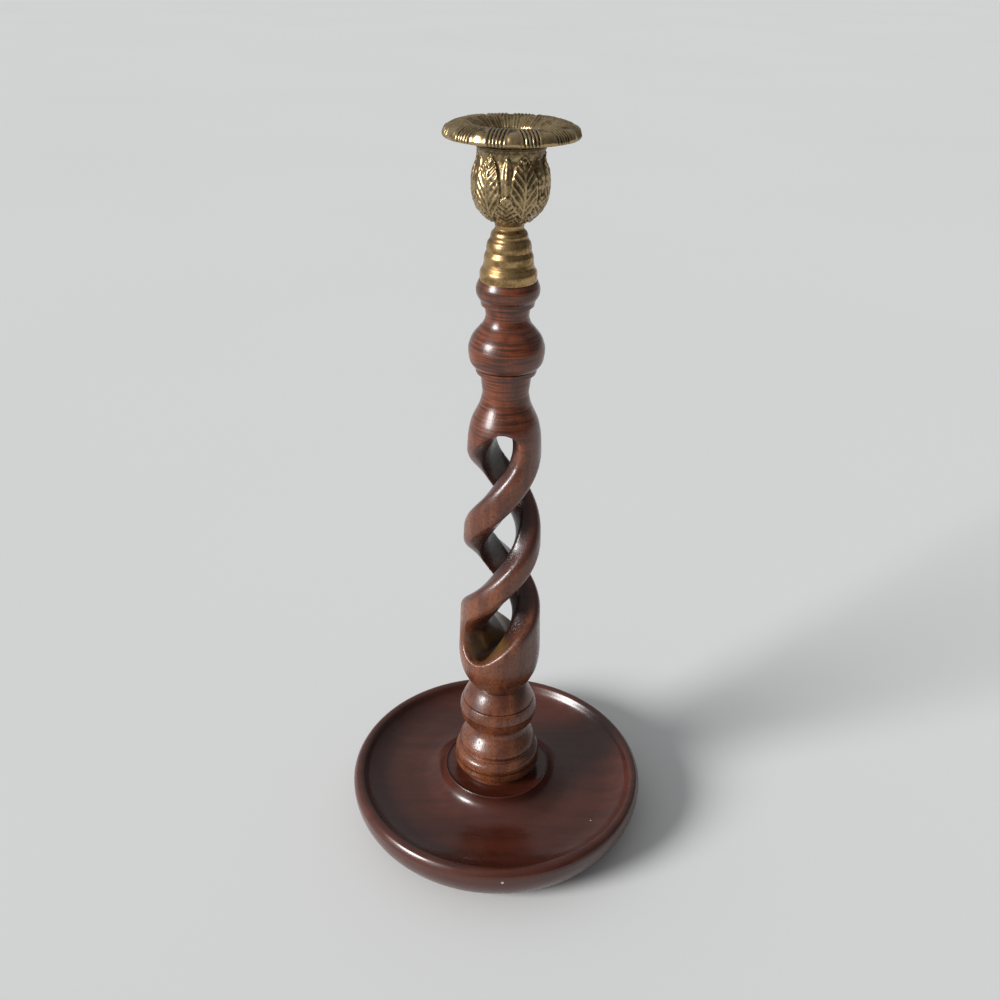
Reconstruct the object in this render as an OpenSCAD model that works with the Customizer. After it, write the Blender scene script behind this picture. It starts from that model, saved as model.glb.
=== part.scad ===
// Barley twist candlestick: a turned wooden dish base, a double open twist stem,
// and a cast and turned brass candle holder whose nozzle lifts out.
// Millimetres. The origin is the middle of the underside, with +Z up and the front at -Y.

/* [Dish base] */
// Diameter over the rounded wall of the dish
dish_d = 152.8; // [140:0.2:170]
// Height of the dish's rim above the table
dish_h = 25.4; // [24.8:0.2:28]
// Thickness of wood from the table up to the floor of the dish
floor_z = 16.8; // [15:0.2:17.6]
// Diameter of the raised lip around the boss
boss_d = 54.4; // [50:0.2:60]
// Height of the boss's flat top, where the stem stands
boss_z = 26.6; // [25:0.2:30]
// Diameter of the stem's tenon, glued into the base
tenon_d = 19; // [16:0.5:22]
// Depth of the mortise in the boss
mortise_depth = 18.6; // [14:0.2:19]

/* [Twist] */
// Height of one full turn of a strand
twist_pitch = 97.5; // [80:0.5:120]
// Height above the table at which a strand crosses the middle of the front
strand_front_z = 193.6; // [180:0.1:210]
// Half the angle that each gap takes up at the surface
gap_half = 56; // [45:1:60]
// Middle of the round end at the bottom of the gaps, above the table
gap_low_z = 115; // [112:0.5:125]
// Middle of the round end at the top of the gaps, above the table
gap_high_z = 215; // [205:0.5:216]
// Distance from the axis to the inner face of a strand
strand_inner = 6.4; // [5:0.1:8]
// Half the width of a strand's inner face
strand_inner_half_w = 7.1; // [5:0.1:8]

/* [Candle holder] */
// Diameter of the candle that the nozzle takes
candle_d = 22; // [20:0.1:22]
// Clearance all round the candle
candle_clearance = 0.15; // [0.05:0.05:0.25]
// Wall of the nozzle's tube
tube_wall = 0.6; // [0.5:0.05:0.7]
// Running clearance between the tube and the neck of the cup
tube_clearance = 0.05; // [0.02:0.01:0.1]
// Length of the tube below the pan's seat
tube_drop = 20.7; // [16:0.1:21]
// Diameter over the rolled rim of the drip pan
pan_d = 54.4; // [52:0.2:60]

/* [Screws] */
// Shank diameter of the screw that holds the cup and the ferrule to the stem
cup_screw_d = 4.8; // [4:0.1:5]
// Depth that the cup screw goes into the wood
cup_screw_bite = 30; // [20:1:34]
// Shank diameter of the screw under the base
base_screw_d = 4.2; // [3.5:0.1:5]
// Length of the screw under the base
base_screw_l = 30; // [25:1:34]

/* [Hidden] */
$fn = 96;

// Heights of the seats, one piece on the next
stem_h = 265.2;
ferrule_h = 23.2;
cup_h = 31;
pan_h = 9.2;
collar_z = boss_z + stem_h;
cup_z = collar_z + ferrule_h;
rim_z = cup_z + cup_h;

// Underside of the base
foot_r = dish_d / 2 - 20.1;
recess_r = 46;
recess_depth = 1.2;
tenon_gap = 0.5;

// Spigot at the top of the stem, inside the ferrule
spigot_r = 8.5;
spigot_h = 11.2;
spigot_gap = 0.3;
screw_gap = 0.2;

// Inside of the candle holder
cup_floor = 4.4;
washer_t = 1;
washer_r = 6.5;
tube_r = candle_d / 2 + candle_clearance;
tube_outer = tube_r + tube_wall;
neck_bore = tube_outer + tube_clearance;
tube_floor = 0.8;
pan_throat = 3.6;

// Wood of the twist, a straight taper: [radius, height above the boss] at its two ends
taper_low = [20.3, 77.4];
taper_high = [16.85, 187.9];

wood = [0.36, 0.15, 0.09];
brass = [0.63, 0.53, 0.32];
brass_turned = [0.68, 0.56, 0.33];
steel = [0.55, 0.55, 0.56];

// A smooth curve through points, n steps between each two, without the last point
function between(a, b, c, d, t) =
    0.5 * (2 * b + (c - a) * t + (2 * a - 5 * b + 4 * c - d) * t * t
    + (3 * b - a - 3 * c + d) * t * t * t);
function curve(p, n = 3) = [
    for (i = [0 : len(p) - 2], j = [0 : n - 1])
        between(p[max(i - 1, 0)], p[i], p[i + 1], p[min(i + 2, len(p) - 1)], j / n)
];

// A quarter of an ellipse from its lowest point outwards, without the last point
function quarter(centre, a, b, n = 10) = [
    for (i = [0 : n - 1]) [centre[0] + a * sin(90 * i / n), centre[1] - b * cos(90 * i / n)]
];

function raised(p, z) = [for (q = p) [q[0], q[1] + z]];

// Wooden dish with a rounded wall, a cove inside and a boss with a fine raised lip
module dish_base() {
    edge = dish_d / 2;
    lip = boss_d / 2;
    outside = quarter([foot_r, 20], edge - foot_r, 20);
    rim = curve([
        [edge, 20], [edge - 0.3, dish_h - 3], [edge - 1.4, dish_h - 1], [edge - 3.4, dish_h],
        [edge - 4.8, dish_h - 0.5], [edge - 5.8, dish_h - 1.8]
    ]);
    cove = curve([
        [edge - 5.8, dish_h - 1.8], [edge - 8, dish_h - 4.2], [edge - 12, dish_h - 6.8],
        [edge - 17, floor_z + 0.4], [edge - 22, floor_z]
    ]);
    skirt = curve([
        [lip + 17, floor_z], [lip + 11, floor_z + 0.7], [lip + 6, floor_z + 2.8],
        [lip + 2.6, boss_z - 4.6], [lip + 0.9, boss_z - 1.6], [lip + 0.3, boss_z + 0.2]
    ]);
    boss_lip = curve([
        [lip + 0.3, boss_z + 0.2], [lip - 0.1, boss_z + 0.6], [lip - 0.5, boss_z + 0.2], [lip - 0.9, boss_z]
    ], 2);
    color(wood)
    difference() {
        rotate_extrude()
            polygon(concat(
                [[0, recess_depth], [recess_r, recess_depth], [recess_r, 0]],
                outside, rim, cove, skirt, boss_lip,
                [[lip - 0.9, boss_z], [0, boss_z]]
            ));
        translate([0, 0, boss_z - mortise_depth])
            cylinder(d = tenon_d, h = mortise_depth + 1);
        translate([0, 0, recess_depth - 0.01])
            cylinder(d = base_screw_d, h = boss_z);
        countersink();
    }
}

// Cone that a countersunk screw head fills
module countersink() {
    translate([0, 0, recess_depth - 0.01])
        cylinder(r1 = base_screw_d, r2 = base_screw_d / 2, h = base_screw_d / 2 + 0.01);
}

// Countersunk wood screw, up through the base into the stem's tenon
module base_screw() {
    slot_w = 0.9;
    slot_depth = 1;
    color(steel)
    difference() {
        rotate_extrude()
            polygon([
                [0, recess_depth], [base_screw_d, recess_depth],
                [base_screw_d / 2, recess_depth + base_screw_d / 2],
                [base_screw_d / 2, recess_depth + base_screw_l - 3],
                [0.4, recess_depth + base_screw_l], [0, recess_depth + base_screw_l]
            ]);
        translate([-base_screw_d - 1, -slot_w / 2, recess_depth - 1])
            cube([2 * base_screw_d + 2, slot_w, slot_depth + 1]);
    }
}

// Outline of the turned stem, as [radius, height above the boss]
foot_outline = concat(
    curve([[18, 0], [18.2, 2.8], [20.2, 5], [22, 5.6]]),
    curve([[22, 5.6], [22.2, 7.4], [21.9, 9.4]], 2),
    curve([[21.9, 9.4], [22, 11.6], [21.2, 14], [19.6, 15.7]]),
    [[19, 16], [19, 16.6], [19.5, 17.4]],
    curve([
        [19.7, 19.6], [18.6, 22], [16.8, 24.4], [15, 27], [14.3, 29.9], [14.8, 32.8], [15.6, 33.9]
    ]),
    curve([[18.3, 34], [19.3, 36.4], [19.7, 39.8], [19.4, 42.4], [18.3, 45], [17.9, 45.7]]),
    [[17.4, 45.9]],
    curve([[17.6, 46.3], [16.6, 49.2], [14.6, 52.4], [12.7, 54.7]]),
    curve([[12.7, 54.7], [14.2, 56.8], [17.1, 61.4], [19.2, 67.4], [20.2, 73.4], taper_low])
);
head_outline = concat(
    curve([
        taper_high, [16.2, 195.9], [14.9, 201.9], [12.3, 207.6], [10.6, 212.8], [10.4, 216.8],
        [11.2, 222.4], [11.6, 223.9]
    ]),
    curve([[13.2, 224.1], [13.4, 225.4], [13.3, 226.8]], 2),
    curve([
        [13.3, 226.8], [15.9, 229.6], [16.7, 235], [15.1, 240.5], [12.3, 244.2], [10.1, 247],
        [9.4, 250.4], [9.9, 254.2]
    ]),
    [[11.4, 254.5]],
    curve([[11.8, 256.8], [13.3, 259], [13.7, 261.4], [13.2, 263.6], [12.3, stem_h]])
);

// The taper in short bands, each crossed by only a few edges of the gaps
bands = 12;
taper = [for (i = [0 : bands - 1]) taper_low + (taper_high - taper_low) * i / bands];

// The gaps between the strands, as one solid to cut away: two mouths joined through the
// middle, turning with height, with round ends
function taper_r(z) =
    taper_low[0] + (taper_high[0] - taper_low[0])
    * (z - boss_z - taper_low[1]) / (taper_high[1] - taper_low[1]);
function turn(z) = 360 * (z - strand_front_z) / twist_pitch;
function rise(z) = atan(twist_pitch / (2 * PI * taper_r(z)));
function end_r(z) = taper_r(z) * gap_half * PI / 180 * sin(rise(z));

// Half the width of a round end, as an angle at the axis, at height z
function end_half(z, centre) =
    sqrt(max(0, pow(end_r(centre), 2) - pow(z - centre, 2))) / taper_r(centre) * 180 / PI;

// Edges of a gap at height z, as angles: the straight side, or the round end past its tangent
low_tangent = end_r(gap_low_z) * cos(rise(gap_low_z));
high_tangent = end_r(gap_high_z) * cos(rise(gap_high_z));
function gap_start(z) =
    z > gap_high_z + high_tangent ? turn(gap_high_z) - end_half(z, gap_high_z) :
    z < gap_low_z + low_tangent ? turn(gap_low_z) - end_half(z, gap_low_z) :
    turn(z) - gap_half;
function gap_end(z) =
    z > gap_high_z - high_tangent ? turn(gap_high_z) + end_half(z, gap_high_z) :
    z < gap_low_z - low_tangent ? turn(gap_low_z) + end_half(z, gap_low_z) :
    turn(z) + gap_half;

// One slice of the cutter: half of it, turned by 180 degrees for the other half. Each side of
// a mouth runs straight from the strand's inner face through its corner to just off the wood.
cutter_r = 24;
off_wood = 0.8;
mouth_steps = 4;
function inner(angle) = [strand_inner_half_w, strand_inner * sin(angle) / sin(gap_half)];
function polar(r, angle) = [r * cos(angle), r * sin(angle)];
function spun(p, a) = [p[0] * cos(a) - p[1] * sin(a), p[0] * sin(a) + p[1] * cos(a)];
function past(p, q) = q + (q - p) * off_wood / norm(q - p);
function mouth(z, angle) = past(inner(angle), polar(taper_r(z), angle));
function half_slice(z) =
    let (a = gap_start(z) - turn(z), b = gap_end(z) - turn(z))
    concat(
        [inner(a), mouth(z, a)],
        [for (i = [0 : mouth_steps]) polar(cutter_r, a + (b - a) * i / mouth_steps)],
        [mouth(z, b), inner(b)]
    );
function slice(z) = [
    for (half = [0, 180], p = half_slice(z)) let (q = spun(p, turn(z) + half)) [q[0], q[1], z]
];

// Heights of the slices: even along the straight part, and by angle round the ends
end_steps = 8;
end_last = 80;
slice_step = 1.6;
low_heights = [
    for (i = [0 : end_steps - 1]) gap_low_z - end_r(gap_low_z) * sin(end_last * (1 - i / end_steps))
];
middle_count = round((gap_high_z - gap_low_z) / slice_step);
middle_heights = [
    for (i = [0 : middle_count]) gap_low_z + (gap_high_z - gap_low_z) * i / middle_count
];
high_heights = [
    for (i = [1 : end_steps]) gap_high_z + end_r(gap_high_z) * sin(end_last * i / end_steps)
];
heights = concat(low_heights, middle_heights, high_heights);

// A lid over slice k, in convex parts: each mouth outside and inside the wood, then the middle
function lid(k, n) =
    let (half = n / 2, first = k * n)
    concat(
        [for (s = [first, first + half]) [for (i = [1 : half - 2]) s + i]],
        [for (s = [first, first + half]) [s, s + 1, s + half - 2, s + half - 1]],
        [[first, first + half - 1, first + half, first + n - 1]]
    );
function backwards(list) = [for (i = [len(list) - 1 : -1 : 0]) list[i]];

module gaps() {
    rings = [for (z = heights) slice(z)];
    n = len(rings[0]);
    last = len(rings) - 1;
    sides = [
        for (k = [0 : last - 1], i = [0 : n - 1])
            let (j = (i + 1) % n)
            each [[k * n + i, (k + 1) * n + i, (k + 1) * n + j], [k * n + i, (k + 1) * n + j, k * n + j]]
    ];
    polyhedron(
        points = [for (ring = rings, p = ring) p],
        faces = concat(lid(0, n), sides, [for (face = lid(last, n)) backwards(face)])
    );
}

// Turned stem with two open strands, a tenon below and a spigot above
module twist_stem() {
    tenon_z = boss_z - mortise_depth + tenon_gap;
    color(wood)
    difference() {
        rotate_extrude()
            polygon(concat(
                [[0, tenon_z], [tenon_d / 2, tenon_z], [tenon_d / 2, boss_z]],
                raised(foot_outline, boss_z), raised(taper, boss_z), raised(head_outline, boss_z),
                [
                    [12.3, collar_z], [spigot_r, collar_z], [spigot_r, collar_z + spigot_h],
                    [0, collar_z + spigot_h]
                ]
            ));
        gaps();
        translate([0, 0, collar_z + spigot_h - cup_screw_bite])
            cylinder(d = cup_screw_d, h = cup_screw_bite + 1);
        cylinder(d = base_screw_d, h = recess_depth + base_screw_l + 0.5);
    }
}

// Stepped brass ferrule over the spigot
module ferrule() {
    outline = concat(
        curve([[12.15, 0], [12.05, 1.4]], 2),
        curve([[12.05, 1.4], [12.2, 2.7], [11.9, 4.1], [11.2, 5.4], [10.7, 6.4], [10.45, 7.8]]),
        [[10.45, 9.6]],
        curve([[10.35, 10.4], [10, 11.3], [9.55, 12]], 2),
        curve([[9.55, 12], [9.45, 13.6], [9.3, 14.8], [8.8, 16.2], [7.95, 17.5]]),
        [[7.9, 18.6]],
        curve([[7.9, 18.8], [7.6, 19.9], [6.9, 20.8], [6.2, 21.3]], 2),
        [[6.1, 21.6], [6.1, ferrule_h]]
    );
    color(brass_turned)
    difference() {
        rotate_extrude()
            polygon(concat([[0, collar_z]], raised(outline, collar_z), [[0, cup_z]]));
        translate([0, 0, collar_z - 1])
            cylinder(r = spigot_r, h = spigot_h + spigot_gap + 1);
        translate([0, 0, collar_z])
            cylinder(d = cup_screw_d + 2 * screw_gap, h = ferrule_h + 1);
    }
}

// Cast cup with a swelling bowl and a flared neck, hollow inside
module candle_cup() {
    bowl = curve([
        [6.4, 0], [8.3, 2], [11, 4.5], [13.5, 6.9], [15.3, 10.5], [16.1, 15.3], [16.15, 18.4],
        [15.5, 22.2], [14.2, 24.8], [13.2, 26.3]
    ]);
    neck = curve([[13.1, 26.8], [13.15, 28.4], [13.6, 29.8], [14, 30.4]], 2);
    hollow = curve([
        [7.4, cup_floor], [10.4, 6.4], [12.7, 9.5], [13.8, 14], [13.7, 19], [12.9, 22.6], [neck_bore, 25.2]
    ]);
    color(brass)
    difference() {
        rotate_extrude()
            polygon(concat(
                [[0, cup_z]], raised(bowl, cup_z), raised(neck, cup_z),
                [[14, cup_z + 30.4], [14, rim_z], [0, rim_z]]
            ));
        rotate_extrude()
            polygon(concat(
                [[0, cup_z + cup_floor]], raised(hollow, cup_z),
                [[neck_bore, cup_z + 25.2], [neck_bore, rim_z + 1], [0, rim_z + 1]]
            ));
        translate([0, 0, cup_z - 1])
            cylinder(d = cup_screw_d + 2 * screw_gap, h = cup_h);
    }
}

module cup_washer() {
    color(steel)
    translate([0, 0, cup_z + cup_floor])
        difference() {
            cylinder(r = washer_r, h = washer_t);
            translate([0, 0, -1])
                cylinder(d = cup_screw_d + 2 * screw_gap, h = washer_t + 2);
        }
}

// Round-headed wood screw, down through the cup and the ferrule into the stem
module cup_screw() {
    head_r = 4.6;
    head_h = 3.2;
    slot_w = 1;
    slot_depth = 1.2;
    seat = cup_z + cup_floor + washer_t;
    tip = collar_z + spigot_h - cup_screw_bite;
    color(steel)
    difference() {
        rotate_extrude()
            polygon(concat(
                [[0, tip + 0.5], [0.4, tip + 0.5], [cup_screw_d / 2, tip + 4], [cup_screw_d / 2, seat]],
                [for (i = [0 : 6]) [head_r * cos(15 * i) + 0.01, seat + head_h * sin(15 * i)]],
                [[0, seat + head_h]]
            ));
        translate([-head_r - 1, -slot_w / 2, seat + head_h - slot_depth])
            cube([2 * head_r + 2, slot_w, slot_depth + 1]);
    }
}

// Brass tube with a floor, which holds the candle
module nozzle_tube() {
    bottom = rim_z - tube_drop;
    color(brass_turned)
    difference() {
        translate([0, 0, bottom])
            cylinder(r = tube_outer, h = tube_drop + pan_throat);
        translate([0, 0, bottom + tube_floor])
            cylinder(r = tube_r, h = tube_drop + pan_throat);
    }
}

// Cast pan with a rolled rim, a funnel to the tube and a seat on the cup
module drip_pan() {
    edge = pan_d / 2;
    under = curve([
        [13.6, 1], [15.2, 2.4], [17.4, 5], [edge - 6.7, 6.3], [edge - 3.6, 6], [edge - 1.5, 4.9],
        [edge - 0.4, 3.6]
    ]);
    roll = curve([
        [edge, 3.9], [edge - 0.2, 5.4], [edge - 1.4, 7.3], [edge - 3.8, 8.7], [edge - 6.6, pan_h],
        [edge - 9.2, pan_h]
    ]);
    funnel = curve([[edge - 9.2, pan_h], [16.2, 7.9], [13.9, 5.6], [12.4, 4.1]]);
    color(brass)
    difference() {
        rotate_extrude()
            polygon(concat(
                [[0, rim_z], [13.8, rim_z]], raised(under, rim_z), [[edge - 0.4, rim_z + 3.6]],
                raised(roll, rim_z), raised(funnel, rim_z),
                [[12.4, rim_z + 4.1], [tube_outer, rim_z + pan_throat], [0, rim_z + pan_throat]]
            ));
        translate([0, 0, rim_z - 1])
            cylinder(r = tube_outer, h = pan_h + 2);
    }
}

dish_base();
base_screw();
twist_stem();
ferrule();
candle_cup();
cup_washer();
cup_screw();
nozzle_tube();
drip_pan();
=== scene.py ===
# Barley twist candlestick: a turned dish base, an open twist stem, a brass ferrule and cup,
# and a nozzle with a leaf-edged drip pan that lifts out.
# Lengths in the dictionaries are millimetres, from the axis or above the table.
import math
import bpy
import numpy as np
from mathutils import Matrix, Vector, noise


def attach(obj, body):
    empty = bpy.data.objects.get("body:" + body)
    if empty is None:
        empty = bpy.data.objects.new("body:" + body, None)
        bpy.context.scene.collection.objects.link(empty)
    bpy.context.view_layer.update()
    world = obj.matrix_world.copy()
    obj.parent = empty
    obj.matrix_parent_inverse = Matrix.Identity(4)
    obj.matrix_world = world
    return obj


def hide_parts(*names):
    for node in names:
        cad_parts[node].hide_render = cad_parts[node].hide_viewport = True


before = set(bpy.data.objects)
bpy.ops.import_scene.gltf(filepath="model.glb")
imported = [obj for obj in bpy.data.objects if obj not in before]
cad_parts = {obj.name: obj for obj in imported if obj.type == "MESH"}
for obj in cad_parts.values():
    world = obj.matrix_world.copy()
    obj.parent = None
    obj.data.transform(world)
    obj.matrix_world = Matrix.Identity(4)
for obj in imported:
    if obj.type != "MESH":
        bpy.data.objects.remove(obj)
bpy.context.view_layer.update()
print("frame loaded")

mm = 0.001


def smoothRun(points, steps=5):
    # a smooth line through the points, as a turner's gouge would leave it
    line = []
    last = len(points) - 1
    for i in range(last):
        a, b, c, d = points[max(i - 1, 0)], points[i], points[i + 1], points[min(i + 2, last)]
        for j in range(steps):
            t = j / steps
            line.append(tuple(
                0.5 * (2 * b[k] + (c[k] - a[k]) * t + (2 * a[k] - 5 * b[k] + 4 * c[k] - d[k]) * t ** 2
                       + (3 * b[k] - a[k] - 3 * c[k] + d[k]) * t ** 3) for k in (0, 1)))
    return line + [tuple(points[last])]


def joinRuns(*runs):
    line = []
    for run in runs:
        for point in run:
            if not line or math.dist(point, line[-1]) > 0.02:
                line.append(tuple(point))
    return line


def stepEvenly(line, step):
    finer = [line[0]]
    for a, b in zip(line, line[1:]):
        count = max(1, math.ceil(math.dist(a, b) / step))
        finer += [(a[0] + (b[0] - a[0]) * i / count, a[1] + (b[1] - a[1]) * i / count)
                  for i in range(1, count + 1)]
    return finer


def selectOnly(*pieces):
    bpy.ops.object.select_all(action="DESELECT")
    for piece in pieces:
        piece.select_set(True)
    bpy.context.view_layer.objects.active = pieces[0]


def turnOnLathe(name, outline, segments):
    # one point, extruded along the outline and spun round the axis
    bpy.ops.object.select_all(action="DESELECT")
    bpy.ops.mesh.primitive_plane_add(size=mm, location=(0, 0, 0))
    piece = bpy.context.object
    piece.name = name
    piece.data.name = name
    bpy.ops.object.mode_set(mode="EDIT")
    bpy.ops.mesh.select_all(action="SELECT")
    bpy.ops.mesh.merge(type="CENTER")
    at = (0.0, 0.0)
    for i, (radius, height) in enumerate(outline):
        move = ((radius - at[0]) * mm, 0, (height - at[1]) * mm)
        if i == 0:
            bpy.ops.transform.translate(value=move)
        else:
            bpy.ops.mesh.extrude_region_move(TRANSFORM_OT_translate={"value": move})
        at = (radius, height)
    bpy.ops.mesh.select_all(action="SELECT")
    bpy.ops.mesh.spin(steps=segments, angle=math.tau, center=(0, 0, 0), axis=(0, 0, 1))
    bpy.ops.mesh.select_all(action="SELECT")
    bpy.ops.mesh.remove_doubles(threshold=0.00001)
    bpy.ops.mesh.normals_make_consistent(inside=False)
    bpy.ops.object.mode_set(mode="OBJECT")
    return piece


def applyModifier(piece, kind, **settings):
    selectOnly(piece)
    modifier = piece.modifiers.new(kind.title(), kind)
    for key, value in settings.items():
        setattr(modifier, key, value)
    bpy.ops.object.modifier_apply(modifier=modifier.name)


def readPoints(piece):
    mesh = piece.data
    points = np.empty(len(mesh.vertices) * 3)
    mesh.vertices.foreach_get("co", points)
    normals = np.empty(len(mesh.vertices) * 3)
    mesh.vertices.foreach_get("normal", normals)
    return points.reshape(-1, 3) / mm, normals.reshape(-1, 3)


def writePoints(piece, points):
    piece.data.vertices.foreach_set("co", (points * mm).ravel())
    piece.data.update()


def writeMark(piece, name, values):
    # a number kept with each point of the surface, for the finishes
    mark = piece.data.attributes.get(name) or piece.data.attributes.new(name, "FLOAT", "POINT")
    mark.data.foreach_set("value", np.clip(values, 0, 1).astype(np.float32))


def markHollows(piece, passes, depth):
    # how far each point lies under or over the blurred piece, as a share of depth
    mesh = piece.data
    points, normals = readPoints(piece)
    ends = np.empty(len(mesh.edges) * 2, np.int32)
    mesh.edges.foreach_get("vertices", ends)
    a, b = ends.reshape(-1, 2).T
    count = len(points)
    links = np.bincount(a, minlength=count) + np.bincount(b, minlength=count)
    blurred = points.copy()
    for _ in range(passes):
        for k in range(3):
            column = blurred[:, k].copy()
            total = np.bincount(a, column[b], count) + np.bincount(b, column[a], count)
            blurred[:, k] = 0.5 * column + 0.5 * total / links
    under = ((blurred - points) * normals).sum(1) / depth
    writeMark(piece, "hollow", under)
    writeMark(piece, "ridge", -under)


def smoothShade(piece, degrees=None):
    selectOnly(piece)
    if degrees is None:
        bpy.ops.object.shade_smooth()
    else:
        bpy.ops.object.shade_smooth_by_angle(angle=math.radians(degrees))


def roughness3d(points, size, seed):
    # gentle lumps, size millimetres across, between about -1 and 1
    return np.array([noise.noise(Vector(p) / size + Vector((seed, 0, 0))) for p in points])


def add(tree, kind, inputs=None, **settings):
    node = tree.nodes.new(kind)
    for key, value in settings.items():
        setattr(node, key, value)
    for key, value in (inputs or {}).items():
        if isinstance(value, bpy.types.NodeSocket):
            tree.links.new(value, node.inputs[key])
        else:
            node.inputs[key].default_value = value
    return node


def mixColours(tree, factor, a, b, blend="MIX"):
    node = add(tree, "ShaderNodeMix", {0: factor, 6: a, 7: b}, data_type="RGBA", blend_type=blend)
    return node.outputs[2]


def calculate(tree, operation, a, b=0.0, clamp=False):
    node = add(tree, "ShaderNodeMath", {0: a, 1: b}, operation=operation, use_clamp=clamp)
    return node.outputs[0]


def remap(tree, value, low, high, toLow=0.0, toHigh=1.0):
    node = add(tree, "ShaderNodeMapRange", {0: value, 1: low, 2: high, 3: toLow, 4: toHigh},
               interpolation_type="SMOOTHSTEP")
    return node.outputs[0]


def cloudy(tree, vector, scale, detail=3.0, rough=0.5, distortion=0.0):
    node = add(tree, "ShaderNodeTexNoise", {
        "Vector": vector, "Scale": scale, "Detail": detail, "Roughness": rough,
        "Distortion": distortion})
    return node.outputs[0]


def stretched(tree, vector, scale, turn=(0, 0, 0)):
    node = add(tree, "ShaderNodeMapping", {"Vector": vector, "Scale": scale, "Rotation": turn})
    return node.outputs[0]


def newGroup(name, inputs, outputs):
    group = bpy.data.node_groups.new(name, "ShaderNodeTree")
    for title, kind in inputs:
        group.interface.new_socket(name=title, in_out="INPUT", socket_type=kind)
    for title, kind in outputs:
        group.interface.new_socket(name=title, in_out="OUTPUT", socket_type=kind)
    return group, group.nodes.new("NodeGroupInput"), group.nodes.new("NodeGroupOutput")


def makeWoodFigure():
    # grain along Z with fine pores, and near-level streaks where the gouge crossed it
    group, given, result = newGroup("woodFigure", [
        ("Coordinates", "NodeSocketVector"), ("Pale", "NodeSocketColor"), ("Deep", "NodeSocketColor"),
        ("Pore", "NodeSocketColor"), ("Streaks", "NodeSocketFloat"), ("Pores", "NodeSocketFloat"),
    ], [("Colour", "NodeSocketColor"), ("Roughness", "NodeSocketFloat"), ("Height", "NodeSocketFloat")])
    at = given.outputs["Coordinates"]
    bands = cloudy(group, stretched(group, at, (1, 1, 0.12)), 150, 4, 0.6, 0.4)
    patches = cloudy(group, at, 28, 2, 0.5)
    figure = remap(group, calculate(group, "ADD", calculate(group, "MULTIPLY", bands, 0.7),
                                    calculate(group, "MULTIPLY", patches, 0.3)), 0.36, 0.64)
    colour = mixColours(group, figure, given.outputs["Pale"], given.outputs["Deep"])
    nearLevel = stretched(group, at, (1, 1, 22), (math.radians(4), math.radians(-7), 0))
    level = cloudy(group, nearLevel, 44, 4, 0.65, 0.3)
    streak = calculate(group, "MULTIPLY", remap(group, level, 0.42, 0.62), given.outputs["Streaks"])
    colour = mixColours(group, streak, colour, given.outputs["Pore"])
    dots = cloudy(group, stretched(group, at, (1, 1, 0.6)), 1250, 3, 0.6)
    pore = calculate(group, "MULTIPLY", remap(group, dots, 0.5, 0.66), given.outputs["Pores"])
    colour = mixColours(group, pore, colour, given.outputs["Pore"])
    smears = cloudy(group, at, 70, 3, 0.6)
    roughness = calculate(group, "ADD", remap(group, smears, 0.3, 0.7, 0.22, 0.36),
                          calculate(group, "MULTIPLY", pore, 0.2))
    height = calculate(group, "SUBTRACT", calculate(group, "MULTIPLY", bands, 0.3),
                       calculate(group, "ADD", pore, calculate(group, "MULTIPLY", streak, 0.3)))
    group.links.new(colour, result.inputs["Colour"])
    group.links.new(roughness, result.inputs["Roughness"])
    group.links.new(height, result.inputs["Height"])
    return group


def makeAgedBrass():
    # bright where it is rubbed, dull in patches, and dark with old polish in the hollows
    group, given, result = newGroup("agedBrass", [
        ("Coordinates", "NodeSocketVector"), ("Clean", "NodeSocketColor"), ("Dull", "NodeSocketColor"),
        ("Dirt", "NodeSocketColor"), ("Hollow", "NodeSocketFloat"), ("Ridge", "NodeSocketFloat"),
    ], [("Colour", "NodeSocketColor"), ("Roughness", "NodeSocketFloat"),
        ("Metal", "NodeSocketFloat"), ("Height", "NodeSocketFloat")])
    at = given.outputs["Coordinates"]
    patches = cloudy(group, at, 130, 5, 0.65, 0.5)
    fine = cloudy(group, at, 900, 4, 0.6)
    dull = remap(group, calculate(group, "ADD", calculate(group, "MULTIPLY", patches, 0.75),
                                  calculate(group, "MULTIPLY", fine, 0.25)), 0.42, 0.6)
    dull = calculate(group, "SUBTRACT", dull, given.outputs["Ridge"], clamp=True)
    colour = mixColours(group, dull, given.outputs["Clean"], given.outputs["Dull"])
    dirt = calculate(group, "MULTIPLY", given.outputs["Hollow"], remap(group, fine, 0.25, 0.6, 0.6, 1.5),
                     clamp=True)
    colour = mixColours(group, dirt, colour, given.outputs["Dirt"])
    roughness = calculate(group, "ADD", remap(group, fine, 0.3, 0.7, 0.22, 0.34),
                          calculate(group, "ADD", calculate(group, "MULTIPLY", dull, 0.08),
                                    calculate(group, "MULTIPLY", dirt, 0.3)))
    metal = calculate(group, "SUBTRACT", 1.0, calculate(group, "MULTIPLY", dirt, 0.5))
    height = calculate(group, "SUBTRACT", calculate(group, "MULTIPLY", fine, 0.5), dirt)
    for title, socket in (("Colour", colour), ("Roughness", roughness), ("Metal", metal), ("Height", height)):
        group.links.new(socket, result.inputs[title])
    return group


woodFigure = makeWoodFigure()
agedBrass = makeAgedBrass()


def newFinish(name):
    finish = bpy.data.materials.new(name)
    finish.use_nodes = True
    tree = finish.node_tree
    tree.nodes.clear()
    shader = tree.nodes.new("ShaderNodeBsdfPrincipled")
    output = tree.nodes.new("ShaderNodeOutputMaterial")
    tree.links.new(shader.outputs[0], output.inputs["Surface"])
    place = tree.nodes.new("ShaderNodeTexCoord").outputs["Object"]
    return finish, tree, shader, place


def readMark(tree, name):
    return add(tree, "ShaderNodeAttribute", attribute_name=name, attribute_type="GEOMETRY").outputs["Fac"]


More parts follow.
